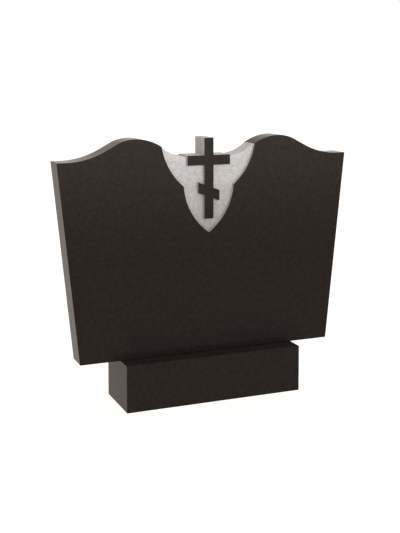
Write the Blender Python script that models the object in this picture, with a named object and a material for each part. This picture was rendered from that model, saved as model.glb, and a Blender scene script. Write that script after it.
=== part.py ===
"""Horizontal granite headstone: a wide stele with a waved top, standing on a plain plinth.

The stele is one plate of stone. Its front carries a sunk field, shaped like a pointed shield,
with a three-barred cross left standing in it, flush with the front. Between the two humps of
the wave the top edge is cut down to a shallow dip, so the head of the cross stands free.

X runs along the stele, the front faces -Y, Z is up. The origin is the middle of the plinth's
underside. All lengths are in metres.
"""

import math

import bmesh
import bpy

# Plinth, a plain sawn and polished block
PLINTH_WIDTH = 0.600
PLINTH_DEPTH = 0.200
PLINTH_HEIGHT = 0.150

# The stele stands on the middle of the plinth, on a thin bed
BED_GAP = 0.0003

# Stele: heights are taken from its foot, drops from the tops of its two humps
STELE_THICKNESS = 0.080
STELE_HEIGHT = 0.700
FOOT_WIDTH = 0.865
SHOULDER_WIDTH = 1.000
SHOULDER_DROP = 0.066

# Wave on each side: a short level run, a hollow, a straight and a hump
LEVEL_RUN = 0.030
HUMP_SPACING = 0.500
HUMP_RADIUS = 0.122
WAVE_STRAIGHT = 0.045

# Sunk field: two corners on the top edge, a waist and a pointed tip
FIELD_DEPTH = 0.012
FIELD_TOP_WIDTH = 0.323
FIELD_TOP_DROP = 0.026
FIELD_WAIST_WIDTH = 0.174
FIELD_WAIST_DROP = 0.156
FIELD_TIP_DROP = 0.3085
FIELD_UPPER_RADIUS = 0.216
FIELD_LOWER_RADIUS = 0.206

# Dip in the top edge, from corner to corner of the field
DIP_DROP = 0.0615
DIP_FLOOR_WIDTH = 0.139

# Cross: one stroke width for the post and the bars
CROSS_TOP_DROP = 0.002
CROSS_HEIGHT = 0.262
CROSS_STROKE = 0.032
CROSS_BAR_WIDTH = 0.148
CROSS_BAR_DROP = 0.074
CROSS_FOOT_BAR_WIDTH = 0.074
CROSS_FOOT_BAR_DROP = 0.176
CROSS_FOOT_BAR_FALL = math.radians(20.8)

# Arcs are drawn with a corner every few degrees
ARC_STEP = math.radians(2.5)

# A cutter runs this far past the stone that it cuts
CUTTER_MARGIN = 0.010

GRANITE_COLOUR = (0.020, 0.017, 0.015, 1.0)
GRANITE_ROUGHNESS = 0.12


def clear_scene():
    for thing in list(bpy.data.objects):
        bpy.data.objects.remove(thing, do_unlink=True)


def arc(centre, radius, start, end):
    """Points on an arc in the XZ plane, from angle start to angle end, both included."""
    steps = max(2, math.ceil(abs(end - start) / ARC_STEP))
    angles = [start + (end - start) * step / steps for step in range(steps + 1)]
    return [(centre[0] + radius * math.cos(a), centre[1] + radius * math.sin(a)) for a in angles]


def arc_from_level(level, end):
    """An arc that leaves the point level horizontally and ends at the point end."""
    run, rise = end[0] - level[0], end[1] - level[1]
    radius = (run * run + rise * rise) / (2 * abs(rise))
    up = math.copysign(1, rise)
    centre = (level[0], level[1] + up * radius)
    start = -up * math.pi / 2
    turn = math.copysign(2 * math.atan2(abs(rise), abs(run)), run * rise)
    return [level] + arc(centre, radius, start, start + turn)[1:-1] + [end]


def arc_between(start, end, radius):
    """An arc of the given radius that bulges to the left on its way from start to end."""
    run, rise = end[0] - start[0], end[1] - start[1]
    chord = math.hypot(run, rise)
    half = math.asin(chord / (2 * radius))
    back = radius * math.cos(half)
    centre = (
        (start[0] + end[0]) / 2 + back * rise / chord,
        (start[1] + end[1]) / 2 - back * run / chord,
    )
    first = math.atan2(start[1] - centre[1], start[0] - centre[0])
    return [start] + arc(centre, radius, first, first - 2 * half)[1:-1] + [end]


def with_mirror_image(right_half):
    """Closes an outline: its right half, then the same points on the left in reverse."""
    left_half = [(-x, z) for x, z in reversed(right_half) if x > 0]
    return right_half + left_half


def field_corner():
    return (FIELD_TOP_WIDTH / 2, STELE_HEIGHT - FIELD_TOP_DROP)


def outer_wave():
    """The right side of the waved top, from the level run at the shoulder to the hump's top."""
    run = SHOULDER_WIDTH / 2 - LEVEL_RUN - HUMP_SPACING / 2
    radii = (run**2 + SHOULDER_DROP**2 - WAVE_STRAIGHT**2) / (2 * SHOULDER_DROP)
    slope = math.atan2(run, radii - SHOULDER_DROP) - math.atan2(WAVE_STRAIGHT, radii)
    hollow_radius = radii - HUMP_RADIUS
    hollow = (HUMP_SPACING / 2 + run, STELE_HEIGHT - SHOULDER_DROP + hollow_radius)
    hump = (HUMP_SPACING / 2, STELE_HEIGHT - HUMP_RADIUS)
    down, up = -math.pi / 2, math.pi / 2
    return arc(hollow, hollow_radius, down, down - slope) + arc(hump, HUMP_RADIUS, up - slope, up)


def stele_outline():
    """The plate seen from the front, without the cross."""
    inner_side = arc_from_level((HUMP_SPACING / 2, STELE_HEIGHT), field_corner())
    dip_side = arc_from_level((DIP_FLOOR_WIDTH / 2, STELE_HEIGHT - DIP_DROP), field_corner())
    return with_mirror_image(
        [(FOOT_WIDTH / 2, 0), (SHOULDER_WIDTH / 2, STELE_HEIGHT - SHOULDER_DROP)]
        + outer_wave()
        + inner_side[1:]
        + dip_side[-2::-1]
    )


def field_outline():
    """The sunk field seen from the front, carried on upwards past the top of the stone."""
    corner = field_corner()
    waist = (FIELD_WAIST_WIDTH / 2, STELE_HEIGHT - FIELD_WAIST_DROP)
    tip = (0, STELE_HEIGHT - FIELD_TIP_DROP)
    upper = arc_between(corner, waist, FIELD_UPPER_RADIUS)
    lower = arc_between(waist, tip, FIELD_LOWER_RADIUS)
    above = (corner[0], STELE_HEIGHT + CUTTER_MARGIN)
    return with_mirror_image([above] + upper + lower[1:])


def cross_outlines():
    """The post, the level bar and the slanting foot bar, seen from the front."""
    half = CROSS_STROKE / 2
    top = STELE_HEIGHT - CROSS_TOP_DROP
    post = box_outline(half, top - CROSS_HEIGHT, top)
    bar_level = STELE_HEIGHT - CROSS_BAR_DROP
    bar = box_outline(CROSS_BAR_WIDTH / 2, bar_level - half, bar_level + half)
    foot_level = STELE_HEIGHT - CROSS_FOOT_BAR_DROP
    upright_half = half / math.cos(CROSS_FOOT_BAR_FALL)
    reach = CROSS_FOOT_BAR_WIDTH / 2
    fall = reach * math.tan(CROSS_FOOT_BAR_FALL)
    foot_bar = [
        (reach, foot_level - fall - upright_half),
        (reach, foot_level - fall + upright_half),
        (-reach, foot_level + fall + upright_half),
        (-reach, foot_level + fall - upright_half),
    ]
    return {"post": post, "bar": bar, "foot_bar": foot_bar}


def box_outline(half_width, low, high):
    return [(half_width, low), (half_width, high), (-half_width, high), (-half_width, low)]


def prism(name, outline, front, back):
    """A solid with the given XZ outline, from y = front to y = back."""
    shape = bmesh.new()
    face = shape.faces.new([shape.verts.new((x, front, z)) for x, z in outline])
    grown = bmesh.ops.extrude_face_region(shape, geom=[face])["geom"]
    moved = [v for v in grown if isinstance(v, bmesh.types.BMVert)]
    bmesh.ops.translate(shape, verts=moved, vec=(0, back - front, 0))
    bmesh.ops.recalc_face_normals(shape, faces=shape.faces)
    mesh = bpy.data.meshes.new(name)
    shape.to_mesh(mesh)
    shape.free()
    solid = bpy.data.objects.new(name, mesh)
    bpy.context.collection.objects.link(solid)
    return solid


def combine(solid, tool, operation):
    """Joins a tool to a solid, or cuts it out, and keeps the tool as a wire guide."""
    tool.hide_render = True
    tool.display_type = "WIRE"
    tool.parent = solid
    step = solid.modifiers.new(tool.name, "BOOLEAN")
    step.operation = operation
    step.solver = "EXACT"
    step.object = tool


def granite(name):
    material = bpy.data.materials.new(name)
    material.use_nodes = True
    shader = material.node_tree.nodes["Principled BSDF"]
    shader.inputs["Base Color"].default_value = GRANITE_COLOUR
    shader.inputs["Roughness"].default_value = GRANITE_ROUGHNESS
    shader.inputs["Metallic"].default_value = 0.0
    return material


def build_plinth():
    half_depth = PLINTH_DEPTH / 2
    outline = box_outline(PLINTH_WIDTH / 2, 0, PLINTH_HEIGHT)
    plinth = prism("plinth", outline, -half_depth, half_depth)
    plinth.data.materials.append(granite("plinth_granite"))
    return plinth


def build_stele():
    front, back = -STELE_THICKNESS / 2, STELE_THICKNESS / 2
    stele = prism("stele", stele_outline(), front, back)
    stele.data.materials.append(granite("stele_granite"))
    field = prism("field_cutter", field_outline(), front - CUTTER_MARGIN, front + FIELD_DEPTH)
    combine(stele, field, "DIFFERENCE")
    for name, outline in cross_outlines().items():
        combine(stele, prism("cross_" + name, outline, front, back), "UNION")
    stele.location.z = PLINTH_HEIGHT + BED_GAP
    return stele


def main():
    clear_scene()
    build_plinth()
    build_stele()


main()
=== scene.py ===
"""Dresses the solid model of a wide granite headstone: a waved stele with a sunk, hammered field
and a cross standing in it, on a plain plinth. It stands on a light table in a light tent.

X runs along the stele, the front faces -Y, Z is up. All lengths are in metres.
"""

import math
import random

import bmesh
import bpy
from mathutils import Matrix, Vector, geometry, kdtree, noise


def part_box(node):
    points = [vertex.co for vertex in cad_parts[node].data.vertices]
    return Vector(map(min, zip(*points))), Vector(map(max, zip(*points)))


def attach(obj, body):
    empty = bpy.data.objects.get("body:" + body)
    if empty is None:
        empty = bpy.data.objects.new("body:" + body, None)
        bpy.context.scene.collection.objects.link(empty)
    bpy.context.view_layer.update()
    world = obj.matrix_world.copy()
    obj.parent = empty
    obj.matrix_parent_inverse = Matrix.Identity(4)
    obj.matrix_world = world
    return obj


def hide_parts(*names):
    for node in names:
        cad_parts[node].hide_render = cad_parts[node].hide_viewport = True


bl_info = {
    "name": "Granite Headstone",
    "version": (1, 0, 0),
    "blender": (4, 5, 0),
    "location": "View3D > Sidebar > Headstone",
    "description": "Carves and finishes a waved granite stele and its plinth",
    "category": "Add Mesh",
}

MM = 0.001

# Points closer than this are one point
WELD = 1e-6
# Lengths under this count as nothing
HAIR = 1e-7

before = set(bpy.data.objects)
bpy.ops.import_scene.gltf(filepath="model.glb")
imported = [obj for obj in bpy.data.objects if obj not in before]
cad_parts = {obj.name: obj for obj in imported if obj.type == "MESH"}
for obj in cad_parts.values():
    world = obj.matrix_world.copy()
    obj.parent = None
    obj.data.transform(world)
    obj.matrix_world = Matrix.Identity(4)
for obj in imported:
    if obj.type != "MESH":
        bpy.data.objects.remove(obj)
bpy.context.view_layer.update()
STELE_LOW, STELE_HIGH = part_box("stele")
PLINTH_LOW, PLINTH_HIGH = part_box("plinth")
FRONT, BACK = STELE_LOW.y, STELE_HIGH.y

# Slots on each stone's mesh
POLISHED, HAMMERED = 0, 1


def length(name, description, default, **more):
    return bpy.props.FloatProperty(
        name=name, description=description, default=default, min=0, unit="LENGTH", precision=4, **more
    )


def linear(hex_colour):
    """An sRGB hex colour as linear RGBA."""
    values = [int(hex_colour[i : i + 2], 16) / 255 for i in (1, 3, 5)]
    return [v / 12.92 if v <= 0.04045 else ((v + 0.055) / 1.055) ** 2.4 for v in values] + [1.0]


def colour(name, description, default):
    return bpy.props.FloatVectorProperty(
        name=name, description=description, default=linear(default), size=4, min=0, max=1, subtype="COLOR"
    )


def strength(name, description, default, **more):
    return bpy.props.FloatProperty(name=name, description=description, default=default, min=0, **more)


class SteleShape(bpy.types.PropertyGroup):
    """The stele seen from the front. Drops are taken from the tops of its two humps."""

    foot_width: length("Foot width", "Width of the stele where it stands on the plinth", 0.865)
    shoulder_drop: length("Shoulder drop", "Hump top down to the shoulder corner", 0.066)
    level_run: length("Level run", "Level stretch of the top edge beside the shoulder", 0.030)
    hump_spacing: length("Hump spacing", "Distance between the tops of the two humps", 0.500)
    hump_radius: length("Hump radius", "Radius of the outer side of a hump", 0.122)
    wave_straight: length("Wave straight", "Straight between the hollow and the hump", 0.045)
    field_depth: length("Field depth", "Depth of the sunk field under the polished front", 0.012)
    field_top_width: length("Field top width", "Distance between the field's upper corners", 0.323)
    field_top_drop: length("Field top drop", "Hump top down to the field's upper corners", 0.026)
    field_waist_width: length("Field waist width", "Width of the field at its waist", 0.174)
    field_waist_drop: length("Field waist drop", "Hump top down to the field's waist", 0.156)
    field_tip_drop: length("Field tip drop", "Hump top down to the field's pointed tip", 0.3085)
    field_upper_radius: length("Field upper radius", "Radius of the side above the waist", 0.216)
    field_lower_radius: length("Field lower radius", "Radius of the side under the waist", 0.206)
    dip_drop: length("Dip drop", "Hump top down to the floor of the dip", 0.0615)
    dip_floor_width: length("Dip floor width", "Width of the level floor of the dip", 0.139)
    arris: length("Arris", "Width of the small chamfer along the polished edges", 0.0012)


class CrossShape(bpy.types.PropertyGroup):
    """The cross left standing in the sunk field."""

    top_drop: length("Top drop", "Hump top down to the top of the post", 0.002)
    height: length("Height", "Height of the post", 0.262)
    stroke: length("Stroke", "Width of the post and of each bar", 0.032)
    bar_width: length("Bar width", "Length of the level bar", 0.148)
    bar_drop: length("Bar drop", "Hump top down to the middle of the level bar", 0.074)
    foot_bar_width: length("Foot bar width", "Width that the slanting foot bar takes up", 0.074)
    foot_bar_drop: length("Foot bar drop", "Hump top down to the middle of the foot bar", 0.176)
    foot_bar_fall: bpy.props.FloatProperty(
        name="Foot bar fall",
        description="Slope of the foot bar, falling to the viewer's right",
        default=math.radians(20.8),
        subtype="ANGLE",
    )


class StoneFinish(bpy.types.PropertyGroup):
    """Colours and tool marks of the stone."""

    polished_dark: colour("Polished dark", "Main crystals of the polished stone", "#1D1918")
    polished_light: colour("Polished light", "Feldspar laths of the polished stone", "#292623")
    hammered_light: colour("Hammered light", "Crushed crystals of the hammered stone", "#A9A9AB")
    hammered_dark: colour("Hammered dark", "Dark crystals of the hammered stone", "#767677")
    grain: length("Grain", "Width of a crystal", 1.2 * MM)
    pit_spacing: length("Pit spacing", "Distance between the marks of the bush hammer", 4.2 * MM)
    pit_depth: length("Pit depth", "Depth of the marks of the bush hammer", 0.45 * MM)
    mesh_step: length("Mesh step", "Size of the mesh faces that carry the tool marks", 1.5 * MM)


class Studio(bpy.types.PropertyGroup):
    """Floor, light and camera."""

    floor_colour: colour("Floor colour", "Matt face of the light table", "#606060")
    floor_glow: strength("Floor glow", "Brightness of the light table's own light", 1.06)
    backdrop_colour: colour("Backdrop colour", "Plain backdrop behind the stone", "#FFFFFF")
    tent_colour: colour("Tent colour", "Light tent all round", "#FFF5ED")
    tent_sides: strength("Tent sides", "Brightness of the tent at eye level", 0.86)
    tent_top: strength("Tent top", "Brightness that the tent gains towards its top", 0.87)
    strip_colour: colour("Strip colour", "Soft box before the stone", "#FDFFFB")
    strip_power: strength("Strip power", "Power of the soft box before the stone", 5.4, unit="POWER")


# Outlines, as (x, z) points with z from the stele's foot

ARC_STEP = math.radians(1.5)

# Keeps the inset of a very sharp corner from running far out
MITRE_LIMIT = 0.2


def arc(centre, radius, start, end):
    steps = max(2, math.ceil(abs(end - start) / ARC_STEP))
    angles = [start + (end - start) * step / steps for step in range(steps + 1)]
    return [(centre[0] + radius * math.cos(a), centre[1] + radius * math.sin(a)) for a in angles]


def arc_from_level(level, end):
    """An arc that leaves the point level horizontally and ends at the point end."""
    run, rise = end[0] - level[0], end[1] - level[1]
    radius = (run * run + rise * rise) / (2 * abs(rise))
    up = math.copysign(1, rise)
    start = -up * math.pi / 2
    turn = math.copysign(2 * math.atan2(abs(rise), abs(run)), run * rise)
    centre = (level[0], level[1] + up * radius)
    return [level] + arc(centre, radius, start, start + turn)[1:-1] + [end]


def arc_between(start, end, radius):
    """An arc of the given radius that bulges to the left on its way from start to end."""
    run, rise = end[0] - start[0], end[1] - start[1]
    chord = math.hypot(run, rise)
    half = math.asin(chord / (2 * radius))
    back = radius * math.cos(half)
    middle = ((start[0] + end[0]) / 2, (start[1] + end[1]) / 2)
    centre = (middle[0] + back * rise / chord, middle[1] - back * run / chord)
    first = math.atan2(start[1] - centre[1], start[0] - centre[0])
    return [start] + arc(centre, radius, first, first - 2 * half)[1:-1] + [end]


def mirrored(points):
    """The same points on the other side, in reverse."""
    return [(-x, z) for x, z in reversed(points)]


def spaced(points, step):
    """The line through the points with more points, so that no stretch is longer than step."""
    line = [points[0]]
    for start, end in zip(points, points[1:]):
        parts = max(1, math.ceil(math.dist(start, end) / step - WELD))
        for part in range(1, parts + 1):
            share = part / parts
            line.append(tuple(a + (b - a) * share for a, b in zip(start, end)))
    return line


def blunted(before, corner, after, size):
    """Two points that cut a corner off."""
    ends = []
    for other in (before, after):
        share = size / math.dist(corner, other)
        ends.append(tuple(c + (o - c) * share for c, o in zip(corner, other)))
    return ends


def stele_lines(shape, cross, step):
    """The lines that bound the stele's faces: the plate's edge from the field's right corner
    round to the left one, the field's rim, the two sides of the dip and the cross's outline
    under and over the dip."""
    height = STELE_HIGH.z - STELE_LOW.z
    half_foot = shape.foot_width / 2
    shoulder = (STELE_HIGH.x, height - shape.shoulder_drop)
    peak = (shape.hump_spacing / 2, height)
    corner = (shape.field_top_width / 2, height - shape.field_top_drop)
    waist = (shape.field_waist_width / 2, height - shape.field_waist_drop)
    tip = (0, height - shape.field_tip_drop)

    run = shoulder[0] - shape.level_run - peak[0]
    radii = (run**2 + shape.shoulder_drop**2 - shape.wave_straight**2) / (2 * shape.shoulder_drop)
    slope = math.atan2(run, radii - shape.shoulder_drop) - math.atan2(shape.wave_straight, radii)
    hollow_radius = radii - shape.hump_radius
    down, up = -math.pi / 2, math.pi / 2
    hollow = arc((peak[0] + run, shoulder[1] + hollow_radius), hollow_radius, down, down - slope)
    hump = arc((peak[0], height - shape.hump_radius), shape.hump_radius, up - slope, up)
    inner = arc_from_level(peak, corner)

    foot = (half_foot, 0)
    right = (
        inner[::-1]
        + hump[-2::-1]
        + hollow[::-1]
        + blunted(hollow[0], shoulder, foot, shape.arris)
        + blunted(shoulder, foot, (0, 0), shape.arris)
    )
    edge = right + mirrored(right)

    rim_right = arc_between(corner, waist, shape.field_upper_radius)
    rim_right += arc_between(waist, tip, shape.field_lower_radius)[1:]
    rim = spaced(rim_right + mirrored(rim_right)[1:], step)

    dip_floor = height - shape.dip_drop
    dip = arc_from_level((shape.dip_floor_width / 2, dip_floor), corner)
    half_bar = cross.bar_width / 2
    bar_foot = (half_bar, level_at(dip, half_bar))
    dip_right = spaced([bar_foot] + [p for p in dip if p[0] > half_bar], step)

    half = cross.stroke / 2
    bar = height - cross.bar_drop
    foot_bar = height - cross.foot_bar_drop
    reach = cross.foot_bar_width / 2
    slant = math.tan(cross.foot_bar_fall)
    rise = half / math.cos(cross.foot_bar_fall)
    post_foot = height - cross.top_drop - cross.height
    under = [
        bar_foot,
        (half_bar, bar - half),
        (half, bar - half),
        (half, foot_bar - half * slant + rise),
        (reach, foot_bar - reach * slant + rise),
        (reach, foot_bar - reach * slant - rise),
        (half, foot_bar - half * slant - rise),
        (half, post_foot),
        (-half, post_foot),
        (-half, foot_bar + half * slant - rise),
        (-reach, foot_bar + reach * slant - rise),
        (-reach, foot_bar + reach * slant + rise),
        (-half, foot_bar + half * slant + rise),
        (-half, bar - half),
        (-half_bar, bar - half),
        (-bar_foot[0], bar_foot[1]),
    ]
    over = [
        (-bar_foot[0], bar_foot[1]),
        (-half_bar, bar + half),
        (-half, bar + half),
        (-half, height - cross.top_drop),
        (half, height - cross.top_drop),
        (half, bar + half),
        (half_bar, bar + half),
        bar_foot,
    ]
    return {
        "edge": edge,
        "rim": rim,
        "dip_right": dip_right,
        "dip_left": mirrored(dip_right),
        "under": spaced(under, step),
        "over": spaced(over, step),
    }


def level_at(line, x):
    """The height of a line at x; left of its start it stays level."""
    for start, end in zip(line, line[1:]):
        if start[0] <= x <= end[0]:
            return start[1] + (end[1] - start[1]) * (x - start[0]) / (end[0] - start[0])
    return line[0][1]


def inset(line, width):
    """The line moved to its right by width, tapering to nothing at both ends."""
    moved = [line[0]]
    for before, point, after in zip(line, line[1:], line[2:]):
        normals = []
        for a, b in ((before, point), (point, after)):
            run, rise = b[0] - a[0], b[1] - a[1]
            size = math.hypot(run, rise)
            normals.append((rise / size, -run / size))
        (ax, az), (bx, bz) = normals
        scale = width / max(MITRE_LIMIT, 1 + ax * bx + az * bz)
        moved.append((point[0] + (ax + bx) * scale, point[1] + (az + bz) * scale))
    return moved + [line[-1]]


# Mesh building

# Loose points inside a sheet: the seed of their jitter, then the jitter, the sideways stagger of
# their rows and the clearance from the sheet's edge, all in steps
GRID_SEED = 7
GRID_JITTER = 0.22
GRID_STAGGER = 0.25
GRID_CLEARANCE = 0.6

# Edges that turn by more than this stay crisp
CREASE = math.radians(20)

# A pit of the bush hammer rises to its ridge at this share of the pit spacing
PIT_REACH = 0.7
# The slow swell under the pits, its length in pit spacings and its height in pit depths
SWELL_LENGTH = 4
SWELL_HEIGHT = 0.6


class Stone:
    """A mesh in the making, with z from the given foot."""

    def __init__(self, foot):
        self.shape = bmesh.new()
        self.foot = foot

    def vert(self, point, y):
        return self.shape.verts.new((point[0], y, point[1] + self.foot))

    def strip(self, rows, finish):
        """Faces between rows of points, each row a list of (point, y)."""
        made = [[self.vert(p, y) for p, y in row] for row in rows]
        for low, high in zip(made, made[1:]):
            for i in range(len(low) - 1):
                face = self.shape.faces.new((low[i], low[i + 1], high[i + 1], high[i]))
                face.material_index = finish

    def panel(self, corners, finish):
        """One flat face, its corners as (point, y)."""
        face = self.shape.faces.new([self.vert(p, y) for p, y in corners])
        face.material_index = finish

    def sheet(self, outline, y, finish, step=None):
        """A flat face inside an outline at y, in triangles, with a jittered grid if step is given."""
        loose = grid_inside(outline, step) if step else []
        ring = list(range(len(outline)))
        edges = [(i, (i + 1) % len(outline)) for i in ring]
        points = [Vector(p) for p in outline + loose]
        found = geometry.delaunay_2d_cdt(points, edges, [ring], 1, HAIR)
        made = [self.vert(p, y) for p in found[0]]
        for corners in found[2]:
            face = self.shape.faces.new([made[i] for i in corners])
            face.material_index = finish

    def close(self):
        bmesh.ops.remove_doubles(self.shape, verts=self.shape.verts, dist=WELD)
        bmesh.ops.dissolve_degenerate(self.shape, edges=self.shape.edges, dist=HAIR)
        bmesh.ops.recalc_face_normals(self.shape, faces=self.shape.faces)


def grid_inside(outline, step):
    """A jittered triangular grid of points inside an outline, clear of its edge."""
    draw = random.Random(GRID_SEED)
    rim = kdtree.KDTree(len(outline))
    for number, (x, z) in enumerate(outline):
        rim.insert((x, 0, z), number)
    rim.balance()
    xs, zs = [p[0] for p in outline], [p[1] for p in outline]
    row_height = step * math.sqrt(3) / 2
    points = []
    z, odd = min(zs) + row_height, False
    while z < max(zs):
        spans = sorted(crossings(outline, z))
        for enter, leave in zip(spans[::2], spans[1::2]):
            first = math.ceil((enter + GRID_CLEARANCE * step) / step)
            last = math.floor((leave - GRID_CLEARANCE * step) / step)
            for i in range(first, last + 1):
                x = (i + GRID_STAGGER * (1 if odd else -1)) * step
                jitter = GRID_JITTER * step
                moved = x + draw.uniform(-jitter, jitter), z + draw.uniform(-jitter, jitter)
                if rim.find((moved[0], 0, moved[1]))[2] > GRID_CLEARANCE * step:
                    points.append(moved)
        z, odd = z + row_height, not odd
    return points


def crossings(outline, z):
    """Where a level line at z crosses an outline."""
    for (ax, az), (bx, bz) in zip(outline, outline[1:] + outline[:1]):
        if (az <= z) != (bz <= z):
            yield ax + (bx - ax) * (z - az) / (bz - az)


def depths(front, back, step):
    """Values of y from front to back, no more than a step apart."""
    count = max(1, math.ceil((back - front) / step))
    return [front + (back - front) * i / count for i in range(count + 1)]


def depth_rows(line, front, back, step):
    """Rows of a wall along a line, from y = front to y = back."""
    return [[(p, y) for p in line] for y in depths(front, back, step)]


def carve_stele(settings):
    shape, finish = settings.stele, settings.finish
    step = finish.mesh_step
    lines = stele_lines(shape, settings.cross, step)
    edge, rim = lines["edge"], lines["rim"]
    under, over = lines["under"], lines["over"]
    left, right = lines["dip_left"], lines["dip_right"]
    floor = FRONT + shape.field_depth
    stone = Stone(STELE_LOW.z)

    # Polished faces: front, cross, back and the edge all round with its two arrises
    inner = inset(edge, shape.arris)
    width = [0] + [shape.arris] * (len(edge) - 2) + [0]
    stone.sheet(inner[:-1] + rim[::-1][:-1], FRONT, POLISHED)
    stone.sheet(under[:-1] + over[:-1], FRONT, POLISHED)
    stone.sheet(inner[:-1] + left[:-1] + over[:-1] + right[:-1], BACK, POLISHED)
    front_arris = [(p, FRONT + w) for p, w in zip(edge, width)]
    back_arris = [(p, BACK - w) for p, w in zip(edge, width)]
    stone.strip([[(p, FRONT) for p in inner], front_arris], POLISHED)
    stone.strip([front_arris[1:-1], back_arris[1:-1]], POLISHED)
    stone.strip([back_arris, [(p, BACK) for p in inner]], POLISHED)

    # At the field's two corners the polished edge takes up the points of the hammered rows
    corner_depths = depths(FRONT, floor, step) + depths(floor, BACK, step)[1:]
    for corner, beside in ((0, 1), (-1, -2)):
        column = [(edge[corner], y) for y in corner_depths]
        stone.panel(column + [back_arris[beside], front_arris[beside]], POLISHED)

    # Hammered faces: the sunk field and its walls, the dip and the sides of the cross
    stone.sheet(right[:-1] + rim[:-1] + left[:-1] + under[::-1][:-1], floor, HAMMERED, step)
    stone.strip(depth_rows(rim, FRONT, floor, step), HAMMERED)
    stone.strip(depth_rows(under, FRONT, floor, step), HAMMERED)
    stone.strip(depth_rows(left, floor, BACK, step), HAMMERED)
    stone.strip(depth_rows(right, floor, BACK, step), HAMMERED)
    stone.strip(depth_rows(over, FRONT, floor, step), HAMMERED)
    stone.strip(depth_rows(over, floor, BACK, step), HAMMERED)
    stone.close()
    sharpen(stone.shape)
    hammer(stone.shape, finish)
    return stone.shape


def sharpen(shape):
    """Smooth shading with crisp corners."""
    for face in shape.faces:
        face.smooth = True
    for edge in shape.edges:
        edge.smooth = edge.is_manifold and edge.calc_face_angle() < CREASE


def hammer(shape, finish):
    """Gives the hammered faces their relief. Points shared with a polished face stay."""
    shape.normal_update()
    moves = []
    for vert in shape.verts:
        if all(face.material_index == HAMMERED for face in vert.link_faces):
            moves.append((vert, vert.normal * relief(vert.co, finish)))
    for vert, move in moves:
        vert.co += move


def relief(place, finish):
    """Height of the hammered surface over its mean level: pits with raised ridges between them,
    on a slow swell."""
    near = noise.voronoi(place / finish.pit_spacing, distance_metric="DISTANCE")[0][0]
    pit = min(1, near / PIT_REACH) ** 2 - 0.5
    swell = noise.noise(place / (SWELL_LENGTH * finish.pit_spacing))
    return finish.pit_depth * (pit + SWELL_HEIGHT * swell)


def carve_plinth(settings):
    shape = bmesh.new()
    size = PLINTH_HIGH - PLINTH_LOW
    bmesh.ops.create_cube(shape, size=1)
    for vert in shape.verts:
        vert.co = [m + c * s for m, c, s in zip((PLINTH_LOW + PLINTH_HIGH) / 2, vert.co, size)]
    bmesh.ops.bevel(
        shape,
        geom=list(shape.edges),
        offset=settings.stele.arris,
        offset_type="WIDTH",
        segments=1,
        profile=0.5,
        affect="EDGES",
    )
    return shape


def place(name, shape, materials, node, slot):
    """Puts a finished stone in the scene in place of its plain solid."""
    mesh = bpy.data.meshes.new(name)
    shape.to_mesh(mesh)
    shape.free()
    for material in materials:
        mesh.materials.append(material)
    piece = bpy.data.objects.new(name, mesh)
    bpy.context.scene.collection.objects.link(piece)
    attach(piece, "root")
    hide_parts(node)
    return piece


# Materials

# Feldspar laths: the turns of their three sets, how much longer than wide they are, and the share
# of the crystals in a set that aren't feldspar
LATH_TURNS = ((0.0, -0.3, 0.4), (0.0, -1.3, 1.2), (0.0, -2.4, -0.5))
LATH_SLENDERNESS = 3
LATH_FREE = 0.7

# Soft mottling of the polished stone, a finger wide, and its weight against the laths
MOTTLE_SIZE = 14 * MM
MOTTLE_WEIGHT = 0.5

# Roughness of the polish, from hard to soft crystals
POLISH_ROUGHNESS = 0.07, 0.13
# Stone has an IOR near 1.5, but this slab mirrors its surroundings far less than that. A low IOR
# gives the right brightness to its front, its sides and its top at the same time
POLISH_IOR = 1.11

# Hammered stone: where painted pit shade turns to rubbed ridge, from a pit's middle to its neighbour's
SHADE_TO_RIDGE_START, SHADE_TO_RIDGE_END = 0.1, 0.8
# Blotches as wide as a few hammer blows, in pit spacings, and their weight against the painted pit shade
# and ridges
BLOTCH_SIZE = 2.5
BLOTCH_WEIGHT = 0.55
# Weight of the painted pit shade, ridges and blotches against the single crystals
SHADE_WEAR_BLOTCH_WEIGHT = 0.6
# Grit of the crushed surface, too fine for the mesh
GRIT_SIZE = 1.2 * MM
GRIT_HEIGHT = 0.4 * MM
HAMMERED_ROUGHNESS = 0.85

# Nearly all of a noise lies between these values
NOISE_ENDS = {"From Min": 0.3, "From Max": 0.7}

# Light table: fine frosting, next to no shine
FLOOR_ROUGHNESS = 0.9
FLOOR_SHINE = 0.1

# Inputs of a Mix node: its share, its two numbers and its two colours
SHARE = 0
NUMBER_A, NUMBER_B = 2, 3
COLOUR_A, COLOUR_B = 6, 7


def new_material(name):
    material = bpy.data.materials.new(name)
    material.use_nodes = True
    material.node_tree.nodes.clear()
    return material, material.node_tree


def add(tree, kind, inputs=None, **settings):
    """Adds a node with its settings. Each input is a value, or the socket that feeds it."""
    made = tree.nodes.new(kind)
    for name, value in settings.items():
        setattr(made, name, value)
    for name, value in (inputs or {}).items():
        if isinstance(value, bpy.types.NodeSocket):
            tree.links.new(value, made.inputs[name])
        else:
            made.inputs[name].default_value = value
    return made


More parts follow.
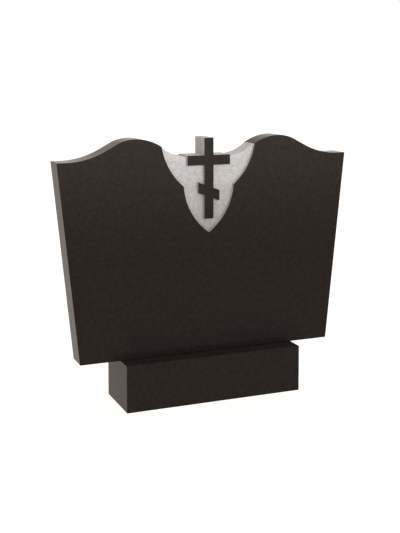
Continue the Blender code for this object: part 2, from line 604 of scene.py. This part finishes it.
def polished_granite(finish):
    """Gabbro-diabase, sold as black granite, sawn and polished: a warm black with faint grey
    feldspar laths, that turns pale grey where it is seen edge-on."""
    found = bpy.data.materials.get("polished_black_granite")
    if found:
        return found
    material, tree = new_material("polished_black_granite")
    where = add(tree, "ShaderNodeTexCoord").outputs["Object"]
    # Feldspar laths lie every way round. Real ones are about 1.5 mm long; they are drawn twice as
    # coarse, to show at all
    laths = 0.0
    for turn in LATH_TURNS:
        along = add(
            tree,
            "ShaderNodeMapping",
            {
                "Vector": where,
                "Rotation": turn,
                "Scale": (LATH_SLENDERNESS * finish.grain, finish.grain, finish.grain),
            },
            vector_type="TEXTURE",
        )
        cells = add(tree, "ShaderNodeTexVoronoi", {"Vector": along.outputs[0], "Scale": 1.0})
        pick = add(tree, "ShaderNodeSeparateColor", {"Color": cells.outputs["Color"]})
        lath = add(tree, "ShaderNodeMapRange", {"Value": pick.outputs[0], "From Min": LATH_FREE})
        laths = add(
            tree, "ShaderNodeMath", {0: lath.outputs[0], 1: laths}, operation="MAXIMUM"
        ).outputs[0]
    mottle = add(
        tree,
        "ShaderNodeTexNoise",
        {"Vector": where, "Scale": 1 / MOTTLE_SIZE, "Detail": 2.0, "Roughness": 0.6},
    )
    mottling = add(tree, "ShaderNodeMapRange", {"Value": mottle.outputs["Fac"], **NOISE_ENDS})
    light = add(
        tree,
        "ShaderNodeMix",
        {SHARE: MOTTLE_WEIGHT, NUMBER_A: laths, NUMBER_B: mottling.outputs[0]},
        data_type="FLOAT",
    )
    tone = add(
        tree,
        "ShaderNodeMix",
        {
            SHARE: light.outputs[0],
            COLOUR_A: finish.polished_dark,
            COLOUR_B: finish.polished_light,
        },
        data_type="RGBA",
    )
    # The polish is a shade duller on the soft crystals
    hard, soft = POLISH_ROUGHNESS
    gloss = add(
        tree, "ShaderNodeMapRange", {"Value": pick.outputs[1], "To Min": hard, "To Max": soft}
    )
    shader = add(
        tree,
        "ShaderNodeBsdfPrincipled",
        {"Base Color": tone.outputs[2], "Roughness": gloss.outputs[0], "IOR": POLISH_IOR},
    )
    add(tree, "ShaderNodeOutputMaterial", {"Surface": shader.outputs[0]})
    return material


def hammered_granite(finish):
    """The same stone under the bush hammer: its crystals are crushed white, so the surface is a
    matt, speckled light grey."""
    material, tree = new_material("hammered_granite")
    where = add(tree, "ShaderNodeTexCoord").outputs["Object"]
    # Each crushed crystal is a light or a dark speck
    specks = add(tree, "ShaderNodeTexVoronoi", {"Vector": where, "Scale": 1 / finish.grain})
    pick = add(tree, "ShaderNodeSeparateColor", {"Color": specks.outputs["Color"]})
    # Painted shade: the pits are painted darker for the shade that falls in them, and the ridges between
    # them are rubbed lighter
    pits = add(tree, "ShaderNodeTexVoronoi", {"Vector": where, "Scale": 1 / finish.pit_spacing})
    pit_shade_ridge = add(
        tree,
        "ShaderNodeMapRange",
        {"Value": pits.outputs["Distance"], "From Min": SHADE_TO_RIDGE_START, "From Max": SHADE_TO_RIDGE_END},
    )
    blotches = add(
        tree,
        "ShaderNodeTexNoise",
        {"Vector": where, "Scale": 1 / (BLOTCH_SIZE * finish.pit_spacing), "Detail": 3.0},
    )
    blotch = add(tree, "ShaderNodeMapRange", {"Value": blotches.outputs["Fac"], **NOISE_ENDS})
    # Painted pit shade with rubbed ridges, mixed with the blotches
    shade_wear_blotches = add(
        tree,
        "ShaderNodeMix",
        {SHARE: BLOTCH_WEIGHT, NUMBER_A: pit_shade_ridge.outputs[0], NUMBER_B: blotch.outputs[0]},
        data_type="FLOAT",
    )
    light = add(
        tree,
        "ShaderNodeMix",
        {SHARE: SHADE_WEAR_BLOTCH_WEIGHT, NUMBER_A: pick.outputs[0], NUMBER_B: shade_wear_blotches.outputs[0]},
        data_type="FLOAT",
    )
    tone = add(
        tree,
        "ShaderNodeMix",
        {
            SHARE: light.outputs[0],
            COLOUR_A: finish.hammered_dark,
            COLOUR_B: finish.hammered_light,
        },
        data_type="RGBA",
    )
    grit = add(tree, "ShaderNodeTexNoise", {"Vector": where, "Scale": 1 / GRIT_SIZE, "Detail": 2.0})
    bump = add(
        tree,
        "ShaderNodeBump",
        {"Height": grit.outputs["Fac"], "Distance": GRIT_HEIGHT, "Strength": 1.0},
    )
    shader = add(
        tree,
        "ShaderNodeBsdfPrincipled",
        {
            "Base Color": tone.outputs[2],
            "Roughness": HAMMERED_ROUGHNESS,
            "Normal": bump.outputs[0],
        },
    )
    add(tree, "ShaderNodeOutputMaterial", {"Surface": shader.outputs[0]})
    return material


def glowing_floor(studio):
    """Opal acrylic lit from below, as on a light table: white and even, with next to no shadow."""
    material, tree = new_material("opal_acrylic")
    shader = add(
        tree,
        "ShaderNodeBsdfPrincipled",
        {
            "Base Color": studio.floor_colour,
            "Roughness": FLOOR_ROUGHNESS,
            "Specular IOR Level": FLOOR_SHINE,
            "Emission Color": studio.tent_colour,
            "Emission Strength": studio.floor_glow,
        },
    )
    add(tree, "ShaderNodeOutputMaterial", {"Surface": shader.outputs[0]})
    return material


# Stage

FLOOR_SIZE = 60.0
# The floor lies this far under the plinth, so that the two faces don't fight
FLOOR_GAP = 0.0005

# The soft box hangs before the stone, a little higher than its top, and aims just over it
STRIP_PLACE = Vector((0, -1.6, 1.1))
STRIP_TARGET = Vector((0, -0.04, 0.93))
STRIP_SIZE = 2.8, 0.2
STRIP_SPREAD = math.radians(30)

# The camera stands left of the stele, a little higher than its top, and looks slightly down. A
# view camera would keep the uprights parallel by shift alone; here the rest is a small tilt
CAMERA_PLACE = Vector((-1.2234, -2.9806, 1.0930))
CAMERA_HEADING = math.radians(22.07)
CAMERA_TILT = math.radians(4.60)
CAMERA_LENS = 67.2
CAMERA_SENSOR = 36
CAMERA_SHIFT = -0.235


def set_floor(studio):
    mesh = bpy.data.meshes.new("floor")
    half = FLOOR_SIZE / 2
    corners = [(-half, -half, -FLOOR_GAP), (half, -half, -FLOOR_GAP)]
    corners += [(half, half, -FLOOR_GAP), (-half, half, -FLOOR_GAP)]
    mesh.from_pydata(corners, [], [(0, 1, 2, 3)])
    mesh.materials.append(glowing_floor(studio))
    floor = bpy.data.objects.new("floor", mesh)
    bpy.context.scene.collection.objects.link(floor)


def set_world(studio):
    world = bpy.data.worlds.new("light_tent")
    world.use_nodes = True
    tree = world.node_tree
    tree.nodes.clear()
    towards = add(tree, "ShaderNodeTexCoord").outputs["Generated"]
    parts = add(tree, "ShaderNodeSeparateXYZ", {"Vector": towards})
    zenith = studio.tent_sides + studio.tent_top
    brightness = add(
        tree,
        "ShaderNodeMapRange",
        {"Value": parts.outputs["Z"], "To Min": studio.tent_sides, "To Max": zenith},
    )
    tent = add(
        tree,
        "ShaderNodeBackground",
        {"Color": studio.tent_colour, "Strength": brightness.outputs[0]},
    )
    # Behind the stone the camera sees plain white
    backdrop = add(tree, "ShaderNodeBackground", {"Color": studio.backdrop_colour})
    seen = add(tree, "ShaderNodeLightPath").outputs["Is Camera Ray"]
    shown = add(
        tree, "ShaderNodeMixShader", {0: seen, 1: tent.outputs[0], 2: backdrop.outputs[0]}
    )
    add(tree, "ShaderNodeOutputWorld", {"Surface": shown.outputs[0]})
    bpy.context.scene.world = world


def set_strip_box(studio):
    """A long soft box with a grid, before the stone: it lights the stone's top most, and shows
    in no reflection."""
    light = bpy.data.lights.new("strip_box", "AREA")
    light.shape = "RECTANGLE"
    light.size, light.size_y = STRIP_SIZE
    light.energy = studio.strip_power
    light.color = studio.strip_colour[:3]
    light.spread = STRIP_SPREAD
    box = bpy.data.objects.new("strip_box", light)
    box.location = STRIP_PLACE
    box.rotation_euler = (STRIP_TARGET - STRIP_PLACE).to_track_quat("-Z", "Y").to_euler()
    box.visible_camera = False
    box.visible_glossy = False
    bpy.context.scene.collection.objects.link(box)


def set_camera():
    camera = bpy.data.cameras.new("camera")
    camera.lens = CAMERA_LENS
    camera.sensor_width = CAMERA_SENSOR
    camera.shift_y = CAMERA_SHIFT
    stand = bpy.data.objects.new("camera", camera)
    stand.location = CAMERA_PLACE
    stand.rotation_euler = (math.pi / 2 - CAMERA_TILT, 0, -CAMERA_HEADING)
    bpy.context.scene.collection.objects.link(stand)
    bpy.context.scene.camera = stand


# Operators

class HEADSTONE_OT_stele(bpy.types.Operator):
    """Carves the stele with its hammered field and its cross"""

    bl_idname = "headstone.stele"
    bl_label = "Carve Stele"

    def execute(self, context):
        settings = context.scene.headstone
        materials = [polished_granite(settings.finish), hammered_granite(settings.finish)]
        place("carved_stele", carve_stele(settings), materials, "stele", "polished_granite")
        return {"FINISHED"}


class HEADSTONE_OT_plinth(bpy.types.Operator):
    """Cuts the plinth that the stele stands on"""

    bl_idname = "headstone.plinth"
    bl_label = "Cut Plinth"

    def execute(self, context):
        settings = context.scene.headstone
        materials = [polished_granite(settings.finish)]
        place("plinth_block", carve_plinth(settings), materials, "plinth", "polished_granite")
        return {"FINISHED"}


class HEADSTONE_OT_stage(bpy.types.Operator):
    """Sets up the floor, the light and the camera"""

    bl_idname = "headstone.stage"
    bl_label = "Set Stage"

    def execute(self, context):
        studio = context.scene.headstone.studio
        set_floor(studio)
        set_world(studio)
        set_strip_box(studio)
        set_camera()
        context.scene.view_settings.view_transform = "Standard"
        return {"FINISHED"}


class HEADSTONE_PT_panel(bpy.types.Panel):
    """Lists the settings and the steps"""

    bl_label = "Granite Headstone"
    bl_idname = "HEADSTONE_PT_panel"
    bl_space_type = "VIEW_3D"
    bl_region_type = "UI"
    bl_category = "Headstone"

    def draw(self, context):
        settings = context.scene.headstone
        for title in ("stele", "cross", "finish", "studio"):
            box = self.layout.box()
            box.label(text=title.capitalize())
            group = getattr(settings, title)
            for name in group.__annotations__:
                box.prop(group, name)
        for step in STEPS:
            self.layout.operator(step.bl_idname)


class HeadstoneSettings(bpy.types.PropertyGroup):
    """All the settings of the headstone."""

    stele: bpy.props.PointerProperty(type=SteleShape)
    cross: bpy.props.PointerProperty(type=CrossShape)
    finish: bpy.props.PointerProperty(type=StoneFinish)
    studio: bpy.props.PointerProperty(type=Studio)


STEPS = (HEADSTONE_OT_stele, HEADSTONE_OT_plinth, HEADSTONE_OT_stage)
GROUPS = (SteleShape, CrossShape, StoneFinish, Studio, HeadstoneSettings)
CLASSES = GROUPS + STEPS + (HEADSTONE_PT_panel,)


def register():
    for each in CLASSES:
        bpy.utils.register_class(each)
    bpy.types.Scene.headstone = bpy.props.PointerProperty(type=HeadstoneSettings)


def unregister():
    del bpy.types.Scene.headstone
    for each in reversed(CLASSES):
        bpy.utils.unregister_class(each)


def main():
    register()
    bpy.ops.headstone.stele()
    bpy.ops.headstone.plinth()
    bpy.ops.headstone.stage()


if __name__ == "__main__":
    main()
